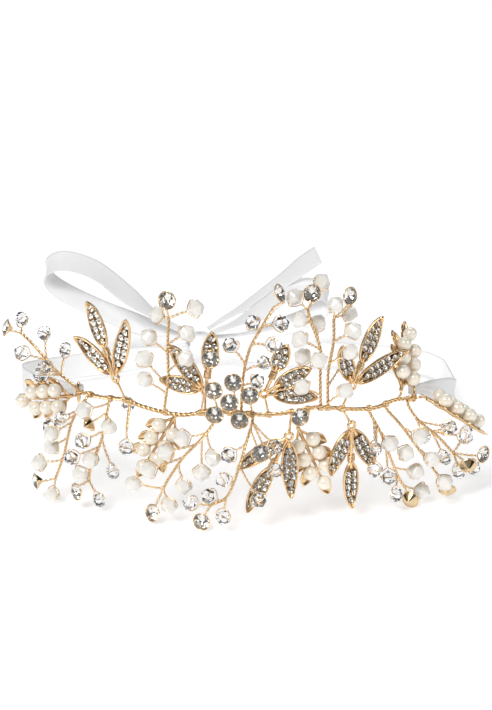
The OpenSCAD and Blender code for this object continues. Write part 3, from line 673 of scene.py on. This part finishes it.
def branch_of(sprig, place):
    """The stem's point that a branch leaves from, and the branch's direction"""
    c = at(place)
    run = min(stem_runs(sprig), key=lambda r: np.linalg.norm(r - c, axis=1).min())
    far = np.linalg.norm(run - c, axis=1)
    k, last = int(far.argmin()), len(run) - 1
    if k != last:
        k = max(0, k - math.floor(0.8 * far[k] / np.linalg.norm(run[1] - run[0]) + 0.5))
    way, d = tangents(run)[k], unit(c - run[k])
    ca = min(0.95, abs(way @ d))
    sa = math.sqrt(1 - ca * ca)
    lift = (stem_d / 2 + gap + branch_d / 2 * ca) / sa
    if k == last:
        lift = min(lift, (gap + branch_d / 2 * sa) / ca)
    return run[k], way, unit(c - run[k] - d * lift)


def bead_stand(sprig, item):
    """The matrix of a bead: its hole along X, its branch coming from -Y"""
    c = at(item[0])
    root, way, d = branch_of(sprig, item[0])
    hole = turned(unit(np.cross(d, outward(item[0]))), d, item[1])
    return stand(c, d, np.cross(hole, d)), root, way


# %% Wires round beads and stones
def twisted_loop(root, way, neck, round_trip, m):
    """One wire: up a branch as one strand, round its load, and back as the other strand"""
    line = smooth([root, 0.45 * root + 0.55 * neck + 0.25 * way, neck], 6)
    pair = twist(evenly(line[::-1], 0.3), 2, 0.27, 3.3, spot(m.to_3x3(), (1, 0, 0)))
    return pair[0][::-1] + list(round_trip) + pair[1]


def bead_wire(sprig, item, d):
    m, root, way = bead_stand(sprig, item)
    end = bead_half * d + 0.15
    half = [(0.2, -3.25, 0), (1.25, -2.75, 0), (2.15, -2.05, 0), (end + 0.32, -1.15, 0),
        (end + 0.25, -0.25, 0), (end - 0.3, 0, 0)]
    line = smooth(half + [(-x, y, z) for x, y, z in half[::-1]], 4)
    return twisted_loop(root, way, spot(m, (0, -3.35, 0)), moved(m, line), m)


def ring_wire(place, facing, root, way):
    """A wire that grips a stone round its girdle"""
    c, f = at(place), aim(place, facing)
    m = stand(c, square_to(c - root, f), f)
    turn = [math.radians(a) for a in range(-86, 267, 8)]
    ring = [(grip_r * math.cos(a), grip_r * math.sin(a), 0) for a in turn]
    ring = [(0.2, -grip_r - 0.1, 0)] + ring + [(-0.2, -grip_r - 0.1, 0)]
    return twisted_loop(root, way, spot(m, (0, -grip_r - 0.35, 0)), moved(m, ring), m)


def foot_wraps(place):
    """Turns of wire that bind a stem's foot to the spine"""
    p = (place[0], spine_height(place[0]), 0)
    along = aim(p, (1, 0, 0))
    return coil(at(p), along, spine_d / 2 + 0.24, 3.5, wrap_wire)


def spine_height(s):
    return float(np.interp(s, [p[0] for p in spine_pts], [p[1] for p in spine_pts]))


# %% Make the sprigs' wires
def sprig_wires(sprig, loose):
    runs = []
    for stem in sprig[0]:
        s = max(-spine_reach, min(spine_reach, stem[0][0]))
        run = smooth([at((s, spine_height(s), 0))] + [at(q) for q in stem], 8)
        for strand in twist(evenly(run, 0.35), 3, 0.31, 4.6):
            runs.append((strand, stem_strand, False))
    for stem in sprig[0]:
        if abs(stem[0][0]) < wrap_reach:
            runs.append((foot_wraps(stem[0]), wrap_wire, False))
    for item in [*sprig[1], *[bead for bead in loose if bead is loose_top]]:
        runs.append((bead_wire(sprig, item, opal_d), wire_d, False))
    for item in [*sprig[2], *[bead for bead in loose if bead is not loose_top]]:
        runs.append((bead_wire(sprig, item, crystal_d), wire_d, False))
    for place, facing in sprig[3]:
        root, way, _ = branch_of(sprig, place)
        runs.append((ring_wire(place, facing, root, way), wire_d, False))
    return runs


loose_on = dict(low_left_inner=(loose_left, loose_low), top_right=(loose_top,))
for name, sprig in sprigs.items():
    wire_piece(name + "_twisted", sprig_wires(sprig, loose_on.get(name, ())), [name + "_wires"])
print("wire pieces", len(made), "strands", sum(len(o.data.splines) for o, _ in made))

# %% [markdown]
# ## Beads and stones
# Beads spin on their wires, so each is turned by its own amount about its hole. The opals of one
# sprig are one piece of separate solids, as in the frame, and so are its crystals. Three loose
# beads each ride on a body of their own.

# %% Make the beads
def bead_copies(sprig, items, mesh):
    copies = []
    for item in items:
        spin = Matrix.Rotation(random.uniform(0, math.pi), 4, "X")
        copies.append((mesh, bead_stand(sprig, item)[0] @ spin))
    return copies


for name, sprig in sprigs.items():
    if sprig[1]:
        mesh_piece(name + "_opal_beads", bead_copies(sprig, sprig[1], opal_cut), [opal],
            [name + "_opals"])
    if sprig[2]:
        mesh_piece(name + "_crystal_beads", bead_copies(sprig, sprig[2], crystal_cut), [crystal],
            [name + "_crystals"])
for name, item, sprig, mesh, glass in (
        ("loose_crystal_left", loose_left, low_left_inner, crystal_cut, crystal),
        ("loose_crystal_low", loose_low, low_left_inner, crystal_cut, crystal),
        ("loose_opal_top", loose_top, top_right, opal_cut, opal)):
    mesh_piece(name + "_cut", bead_copies(sprig, [item], mesh), [glass], [name],
        body=name + "_bead")
print("pieces so far", len(made))

# %% Make the stones
def stone_copies(items):
    copies = []
    for place, facing in items:
        f = aim(place, facing)
        m = stand(at(place), square_to([0, 0, 1], f), f) @ Matrix.Rotation(
            random.uniform(0, 1), 4, "Z")
        copies += [(stone_cut, m), (stone_back, m)]
    return copies


set_stones = [item for sprig in sprigs.values() for item in sprig[3]]
foiled = [stone_glass, silver_foil, gold_foil]
mesh_piece("sprig_stones_cut", stone_copies(set_stones), foiled, ["sprig_stones"])
mesh_piece("flower_stones_cut", stone_copies([(f[0], OUT) for f in flower]), foiled,
    ["flower_stones"])
print("set stones", len(set_stones) + len(flower))

# %% [markdown]
# ## Spine, end rings and flower stems
# The spine is a rope of three wires. The frame's end rings already have the right shape, so they
# stay and get the gold. The spine's last wire is wound round each ring. The flower's stones stand
# on short twisted stems, wound round the spine at their feet.

# %% Make the spine
spine_run = evenly(smooth([at(p) for p in spine_pts], 8), 0.4)
runs = [(strand, rope_strand, False) for strand in twist(spine_run, 3, 0.43, 5.4)]
for side in (-1, 1):
    centre = np.array([side * ring_at[0], ring_at[1], spine_z + ring_at[2]])
    end = spine_run[0 if side < 0 else -1]
    reach = unit((end - centre) * (0, 1, 1))
    arc = [centre + ring_r * turned(reach, np.array([1.0, 0, 0]), a) for a in np.linspace(-22, 22, 60)]
    wound = twist(np.array(arc), 1, 0.72, 0.5)[0]
    middle = wound[len(wound) // 2]
    runs.append((wound, wrap_wire, False))
    runs.append((smooth([end, 0.5 * end + 0.5 * middle, middle], 5), 0.5, False))
wire_piece("spine_rope", runs, ["spine_wire"])
for name in ("end_ring_left", "end_ring_right"):
    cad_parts[name].data.materials.clear()
    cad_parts[name].data.materials.append(wire_gold)
print("spine points", len(spine_run))

# %% Make the flower stems
runs = []
for place, foot in flower:
    way = unit(at(place) - at(foot))
    runs.append((ring_wire(place, OUT, at(foot) + way * 0.8, way), wire_d, False))
    runs.append((foot_wraps(foot), wrap_wire, False))
wire_piece("flower_stems_twisted", runs, ["flower_wires"])
print("flower stems", len(flower))

# %% [markdown]
# ## Leaf sprays
# A leaf is cast: a thin blade with a raised edge, drilled for two rows of small stones, with
# grains of gold pushed over their edges. The blade starts as a flat grid, which is drawn in to a
# leaf's outline and extruded for its thickness. The raised edge is a wire round the outline. The
# tips lift a little, as if the leaf were curling.

# %% Blade outline
def half_width(y, length, width):
    r = (length ** 2 + width ** 2) / (4 * width)
    return math.sqrt(max(0, r * r - (y - length / 2) ** 2)) - r + width / 2


def blade_half(y, length):
    """Half a blade's width: it fills out quickly and comes to a point"""
    t = max(0.0, min(1.0, y / length)) ** 0.85
    return blade_w / 2 * max(0.0, math.sin(math.pi * t)) ** 0.6


def seats(length):
    found = []
    u = length - 2.6
    while u >= 2:
        h = blade_half(u, length)
        if h > 2.3:
            found += [(-pave_pitch / 2, u), (pave_pitch / 2, u)]
        elif h > 1.2:
            found.append((0, u))
        u -= pave_pitch
    return found


def lift(y, length):
    return 0.11 * max(0.0, y - length + 3.5) ** 2


def blade_drawing(length):
    bm = bmesh.new()
    bmesh.ops.create_grid(bm, x_segments=6, y_segments=20, size=1)
    for v in bm.verts:
        u, y = v.co.x, (v.co.y + 1) / 2 * length
        v.co = (u * max(0.16, blade_half(y, length)), y, 0.32 + lift(y, length))
    top = list(bm.faces)
    under = bmesh.ops.extrude_face_region(bm, geom=top)["geom"]
    for v in [g for g in under if isinstance(g, bmesh.types.BMVert)]:
        edge = abs(v.co.x) / max(0.16, blade_half(v.co.y, length))
        v.co = (v.co.x * 0.9, v.co.y, v.co.z - 0.5 + 0.2 * edge ** 2)
    bmesh.ops.recalc_face_normals(bm, faces=bm.faces)
    for face in bm.faces:
        # The upper faces take the second finish, the gold darkened as painted shade
        face.material_index = 1 if face.normal.z > 0.4 else 0
    return drawing(bm, "blade")


def rim_run(length, z, inside):
    ys = [length * (0.5 - 0.5 * math.cos(math.pi * i / 16)) for i in range(17)]
    right = [(max(0.1, blade_half(y, length) - inside), y, z + lift(y, length)) for y in ys]
    return right + [(-x, y, z) for x, y, z in right[::-1][1:-1]]


print("seats on a long blade", len(seats(18)))

# %% Grain and hub drawings
def ball(radius, name, fine):
    bm = bmesh.new()
    bmesh.ops.create_icosphere(bm, subdivisions=fine, radius=radius)
    return drawing(bm, name)


def hub_drawing():
    bm = bmesh.new()
    bmesh.ops.create_circle(bm, segments=8, radius=0.55,
        matrix=Matrix.Translation((1.25, 0, blade_t / 2)) @ Matrix.Rotation(math.pi / 2, 4, "X"))
    bmesh.ops.spin(bm, geom=bm.edges[:] + bm.verts[:], cent=(0, 0, 0), axis=(0, 0, 1),
        angle=2 * math.pi, steps=24, use_merge=True)
    return drawing(bm, "hub")


grain, hub_ring = ball(0.3, "grain", 1), hub_drawing()

# %% Make the leaf sprays
leaf_names = dict(left=leaf_left, top_left=leaf_top_left, top_middle=leaf_top_middle,
    top_right=leaf_top_right, low_left=leaf_low_left, low_right=leaf_low_right)


def leaf_stand(leaf):
    return stand(at(leaf[0]), aim(leaf[0], UP), aim(leaf[0], OUT))


def blade_stand(leaf, blade):
    return leaf_stand(leaf) @ Matrix.Rotation(-math.radians(blade[0]), 4, "Z") @ \
        Matrix.Translation((0, blade[1], 0))


paving = {"leaf_stones_upper": [], "leaf_stones_lower": []}
for name, leaf in leaf_names.items():
    metal, edges = [(hub_ring, leaf_stand(leaf))], []
    for blade in leaf[1]:
        m, length = blade_stand(leaf, blade), blade[2] - blade[1]
        metal.append((blade_drawing(length), m))
        edges.append((moved(m, rim_run(length, blade_t - 0.02, 0.12)), 0.55, True))
        edges.append((moved(m, rim_run(length, 0.55, 0.3)), 0.95, True))
        neck = [(0, y, blade_t / 2) for y in np.linspace(1.5 - blade[1], 2, 8)]
        edges.append((moved(m, neck), np.linspace(1.25, 1.5, 8), False))
        rows = sorted({u for _, u in seats(length)})
        for u in rows + [rows[0] - pave_pitch]:
            y = u + pave_pitch / 2
            for x in (-pave_pitch, 0, pave_pitch):
                if abs(x) < blade_half(y, length) - 0.1:
                    metal.append((grain, m @ Matrix.Translation((x, y, blade_t + 0.1 + lift(y, length)))))
        for x, u in seats(length):
            turn = Matrix.Rotation(random.uniform(0, 0.8), 4, "Z")
            key = "leaf_stones_lower" if name.startswith("low") else "leaf_stones_upper"
            paving[key].append((pave_cut, m @ Matrix.Translation(
                (x, u, blade_t + 0.06 + lift(u, length))) @ turn))
    # The blades' upper faces carry painted shade: the darkened copy of the gold
    mesh_piece(f"leaf_{name}_cast", metal, [cast_gold, shade_painted_gold], [f"leaf_spray_{name}"],
        smooth_faces=True)
    wire_piece(f"leaf_{name}_rims", edges, [f"leaf_spray_{name}"],
        material=cast_gold)
for key, copies in paving.items():
    mesh_piece(key + "_cut", copies, [stone_glass, silver_foil], [key])
print("paving stones", sum(len(c) for c in paving.values()))

# %% Make the bindings and the leaf stems
runs, stems = [], []
for leaf in leaf_names.values():
    blade = leaf[1][leaf[2]]
    m = blade_stand(leaf, blade)
    wound = coil(np.array([0, -1.5, blade_t / 2]), (0, 1, 0), 1.15, 5.5, 0.5, 0.95, (1, 0, 0))
    runs.append((moved(m, wound), 0.44, False))
    hub, foot = spot(leaf_stand(leaf), (0, 0, blade_t / 2)), at(leaf[3])
    way = unit(hub - foot)
    line = evenly(smooth([foot + way * 0.7, 0.5 * (foot + hub), hub - way * (hub_r + 0.1)], 6), 0.35)
    stems += [(strand, 0.42, False) for strand in twist(line, 3, 0.25, 2.4)]
    eye = coil(hub - way * 1.35, np.cross(way, aim(leaf[0], OUT)), 0.85, 1.5, 0.3)
    stems.append((eye, 0.4, False))
    stems.append((foot_wraps(leaf[3]), wrap_wire, False))
wire_piece("leaf_bindings_wound", runs, ["leaf_bindings"])
wire_piece("leaf_stems_twisted", stems, ["leaf_stems"])

# %% [markdown]
# ## Pearl sprays
# A pearl spray is a small cast branch whose leaves are cupped to hold a pearl each. A cupped leaf
# is a grid drawn in to a leaf's outline, its long edges raised, then given a wall. The pearls are
# half drilled and glued on pegs, so each is a full smooth ball.

# %% Make the pearl sprays
def cupped_leaf():
    bm = bmesh.new()
    bmesh.ops.create_grid(bm, x_segments=8, y_segments=12, size=1)
    for v in bm.verts:
        y = (v.co.y + 1) / 2 * cup_length
        x = v.co.x * max(0.12, half_width(y, cup_length, cup_width))
        y -= cup_length / 2
        v.co = (x, y, 0.35 + 0.24 * x * x + 0.05 * max(0, y) ** 2)
    bmesh.ops.recalc_face_normals(bm, faces=bm.faces)
    bmesh.ops.solidify(bm, geom=bm.faces[:], thickness=0.38)
    return drawing(bm, "cupped_leaf")


def pearl_drawing():
    bm = bmesh.new()
    bmesh.ops.create_uvsphere(bm, u_segments=24, v_segments=16, radius=pearl_d / 2)
    return drawing(bm, "pearl")


cup, pearl_ball, bead_of_gold = cupped_leaf(), pearl_drawing(), ball(0.42, "gold_bead", 2)
sprays = dict(left=spray_left, low_left=spray_low_left, low_right=spray_low_right,
    right=spray_right, right_end=spray_right_end)
for name, spray in sprays.items():
    m = stand(at(spray[0]), aim(spray[0], spray[1]), aim(spray[0], spray[2]))
    metal, balls, stalks = [], [], []
    s = max(-spine_reach, min(spine_reach, spray[0][0]))
    foot = smooth([at((s, spine_height(s), 0)), *moved(m, [(0, -1.0, 0.4), (0, 2.0, 0.4)])], 8)
    stalks += [(strand, 0.5, False) for strand in twist(evenly(foot, 0.35), 2, 0.28, 3.3)]
    for x, y, turn in pearl_places:
        lean = Matrix.Rotation(-math.radians(turn), 4, "Z") @ Matrix.Translation((0, 2.0, 0))
        metal.append((cup, m @ Matrix.Translation((x, y, 0)) @ lean))
        stalk = smooth([(0, y - 4.2, 0.45), (x * 0.3, y - 3.0, 0.5), (x * 0.8, y - 1.0, 0.55)], 4)
        stalks.append((moved(m, stalk), 0.95, False))
        balls.append((pearl_ball, m @ Matrix.Translation((x, y, 0.75 + pearl_d / 2))))
        metal.append((bead_of_gold, m @ Matrix.Translation((x * 0.35, y - 2.6, 0.75))))
    mesh_piece(f"pearl_spray_{name}_cast", metal, [cast_gold], [f"pearl_spray_{name}"],
        smooth_faces=True)
    branch = [((0, y, 0.35 + 0.15 * math.sin(y * 0.9)), 1.5 - 0.025 * y) for y in np.linspace(0, 20.2, 24)]
    wire_piece(f"pearl_spray_{name}_branch", [(moved(m, [p for p, _ in branch]), [d for _, d in branch],
        False)] + stalks, [f"pearl_spray_{name}"], material=cast_gold)
    mesh_piece(f"pearls_{name}_round", balls, [pearl], [f"pearls_{name}"], smooth_faces=True)
print("pearls", len(sprays) * len(pearl_places))

# %% [markdown]
# ## Ribbon
# The ribbon is a strip of satin, so it is a grid laid along its route: its width turns from
# upright to level and narrows where it is pulled through a ring or into the knot, where it also
# gathers into small pleats. Its UV map is in millimetres, so that the threads keep one size.
# Solidify in bmesh gives it two faces and closed edges.

# %% Ribbon maker
def ribbon_drawing(route, shift):
    run = smooth(route, 8)
    path = run[:, :3]
    ways = tangents(path)
    far = distances(path)
    bm = bmesh.new()
    rows = len(run) - 1
    bmesh.ops.create_grid(bm, x_segments=12, y_segments=rows, size=1)
    uv = bm.loops.layers.uv.new("satin")
    for face in bm.faces:
        for loop in face.loops:
            k = int(round((loop.vert.co.y + 1) / 2 * rows))
            loop[uv].uv = ((loop.vert.co.x + 1) * 5, far[k] + shift)
    for v in bm.verts:
        u, k = v.co.x, int(round((v.co.y + 1) / 2 * rows))
        turn, width = math.radians(run[k][3]), run[k][4]
        w = square_to([0, math.sin(turn), math.cos(turn)], ways[k])
        n = np.cross(ways[k], w)
        loose = max(0.0, min(1.0, width - 4))
        pleat = (0.02 + 0.05 * loose) * max(0, 9 - width) * math.cos(3 * math.pi * u)
        crown = 0.05 * width * loose * (1 - u * u) * math.sin(far[k] / 17)
        v.co = path[k] + w * u * width / 2 + n * (pleat + crown)
    bmesh.ops.recalc_face_normals(bm, faces=bm.faces)
    bm.normal_update()
    for v, way in [(v, v.normal.copy()) for v in bm.verts]:
        v.co += way * satin_t / 2
    bmesh.ops.solidify(bm, geom=bm.faces[:], thickness=satin_t)
    return drawing(bm, "strip"), far[-1]


def ribbon_piece(name, routes, node):
    copies, length = [], 0
    for route in routes:
        mesh, far = ribbon_drawing(route, length)
        copies.append((mesh, Matrix.Identity(4)))
        length += far
    piece = mesh_piece(name, copies, [satin], [node], body="ribbon", smooth_faces=True)
    print(name, "length", round(length), "mm")


ribbon_piece("band_left_satin", [band_left_pts], "ribbon_band_left")
ribbon_piece("band_right_satin", [band_right_pts], "ribbon_band_right")
ribbon_piece("bow_left_satin", [bow_left_pts, tail_down_pts], "bow_left")
ribbon_piece("bow_right_satin", [bow_right_pts, tail_up_pts], "bow_right")

# %% Make the knot
def knot_drawing():
    bm = bmesh.new()
    bmesh.ops.create_grid(bm, x_segments=24, y_segments=48, size=1)
    uv = bm.loops.layers.uv.new("satin")
    for face in bm.faces:
        for loop in face.loops:
            loop[uv].uv = ((loop.vert.co.x + 1) * 5, (loop.vert.co.y + 1) * 13)
    for v in bm.verts:
        u, a = v.co.x, (v.co.y + 1) * math.pi
        fold = 0.16 * math.cos(5 * math.pi * u + math.sin(a))
        r = knot_r * (1 - 0.30 * u ** 4 - 0.5 * u ** 20) - 0.35 + fold
        v.co = (r * math.cos(a), r * math.sin(a), u * (knot_h / 2 - 0.2))
    bmesh.ops.remove_doubles(bm, verts=bm.verts, dist=1e-3)
    bmesh.ops.recalc_face_normals(bm, faces=bm.faces)
    bmesh.ops.solidify(bm, geom=bm.faces[:], thickness=satin_t)
    return drawing(bm, "knot")


knot = mesh_piece("knot_satin", [(knot_drawing(), Matrix.Translation(knot_at))], [satin],
    ["ribbon_knot"], body="ribbon", smooth_faces=True)

# %% [markdown]
# ## Table and light
# The table is matt white and shines a little by itself, so that only the shadows close to the
# vine show. One broad lamp hangs over the left, a weaker one fills from the right and a third
# shines from behind. The surroundings are dark at the horizon, white in a band above it and grey
# overhead, which gives metal and glass light and dark things to mirror.

# %% Table
def table_top():
    bm = bmesh.new()
    bmesh.ops.create_grid(bm, x_segments=1, y_segments=1, size=6)
    mesh = bpy.data.meshes.new("table_top")
    bm.to_mesh(mesh)
    bm.free()
    material, start, shader = finish("table_white", Roughness=0.6, Emission_Strength=0.42)
    noise(start, 3).blend((0.90, 0.90, 0.91, 1), (0.92, 0.92, 0.93, 1)).into(shader, "Base Color")
    shader.inputs["Emission Color"].default_value = (1, 1, 1, 1)
    mesh.materials.append(material)
    top = bpy.data.objects.new("table_top", mesh)
    bpy.context.collection.objects.link(top)


table_top()

# %% Lamps and surroundings
def lamp(name, place, size, power):
    light = bpy.data.lights.new(name, "AREA")
    light.shape, light.size, light.size_y, light.energy = "RECTANGLE", size[0], size[1], power
    obj = bpy.data.objects.new(name, light)
    obj.location = place
    look(obj, (-place[0], -0.02 - place[1], 0.04 - place[2]))
    bpy.context.collection.objects.link(obj)


lamp("key", (-2.2, -3.6, 4.4), (2.6, 2.6), 235)
lamp("fill", (4.0, -1.8, 2.6), (1.2, 2.4), 45)
lamp("back", (0.5, 4.0, 3.9), (3.6, 1.2), 60)
world = bpy.data.worlds.new("studio")
bpy.context.scene.world = world
world.use_nodes = True
start = Socket(world.node_tree)
height = start.node("ShaderNodeSeparateXYZ", {}, {"Vector": start.node(
    "ShaderNodeTexCoord", {}, {}, out="Generated")}, out="Z")
start.node("ShaderNodeValToRGB", {"stops": [(0.0, (0.05, 0.05, 0.05, 1)), (0.2, (0.16, 0.16, 0.16, 1)),
        (0.42, (1, 1, 1, 1)), (0.6, (0.45, 0.45, 0.45, 1)), (1.0, (0.25, 0.25, 0.25, 1))]},
    {"Fac": height}, out="Color").into(world.node_tree.nodes["Background"], "Color")
world.node_tree.nodes["Background"].inputs["Strength"].default_value = 0.3

# %% [markdown]
# ## Last checks
# Every finished piece is compared with the box of the solids it replaces.

# %% Compare with the frame
worst = []
for obj, nodes in made:
    depsgraph = bpy.context.evaluated_depsgraph_get()
    box = [obj.matrix_world @ Vector(c) for c in obj.evaluated_get(depsgraph).bound_box]
    boxes = [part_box(n) for n in nodes]
    low = [min(b[0][i] for b in boxes) for i in range(3)]
    high = [max(b[1][i] for b in boxes) for i in range(3)]
    out = max(max(low[i] - min(p[i] for p in box), max(p[i] for p in box) - high[i]) for i in range(3))
    worst.append((round(out / MM, 2), obj.name))
print("furthest outside its solid's box, mm:", sorted(worst, reverse=True)[:8])
